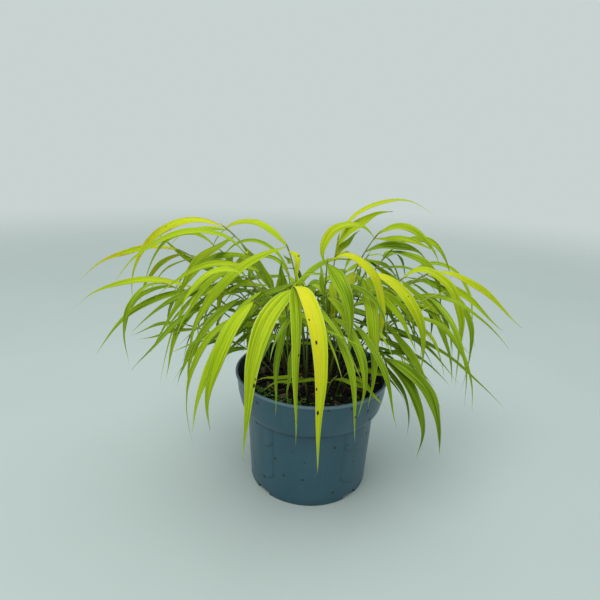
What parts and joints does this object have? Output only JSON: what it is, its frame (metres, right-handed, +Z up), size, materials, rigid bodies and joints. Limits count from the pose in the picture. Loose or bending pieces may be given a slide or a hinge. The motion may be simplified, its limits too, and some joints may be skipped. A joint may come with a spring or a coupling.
{
  "type": "potted japanese forest grass",
  "caption": "Arching tuft of japanese forest grass with long tapering lime-green blades, standing in potting soil in a round plastic nursery pot.",
  "frame": {"origin": "middle of the pot's flat base, on the surface it stands on", "axes": "+Z up, -Y to the front, +X to the right as seen from the front"},
  "size_m": [0.5073, 0.3037, 0.3175],
  "materials": {
    "pot_plastic": "satin",
    "potting_soil": "matte",
    "grass": "satin"
  },
  "bodies": {
    "root": {"pot": "pot_plastic", "soil": "potting_soil", "stem_01": "grass", "stem_02": "grass", "stem_03": "grass", "stem_04": "grass", "stem_05": "grass", "stem_06": "grass", "stem_07": "grass", "stem_08": "grass", "stem_09": "grass", "stem_10": "grass", "stem_11": "grass", "stem_12": "grass", "stem_13": "grass", "stem_14": "grass", "stem_15": "grass", "stem_16": "grass", "stem_17": "grass", "stem_18": "grass", "stem_19": "grass", "stem_20": "grass", "stem_21": "grass", "stem_22": "grass", "stem_23": "grass", "stem_24": "grass", "stem_25": "grass", "stem_26": "grass", "stem_27": "grass", "stem_28": "grass", "stem_29": "grass", "stem_30": "grass", "stem_31": "grass", "stem_32": "grass", "stem_33": "grass", "stem_34": "grass", "stem_35": "grass", "stem_36": "grass", "stem_37": "grass", "stem_38": "grass", "stem_39": "grass", "stem_40": "grass", "stem_41": "grass", "stem_42": "grass", "stem_43": "grass", "stem_44": "grass", "stem_45": "grass", "stem_46": "grass", "stem_47": "grass", "stem_48": "grass"}
  },
  "joints": []
}
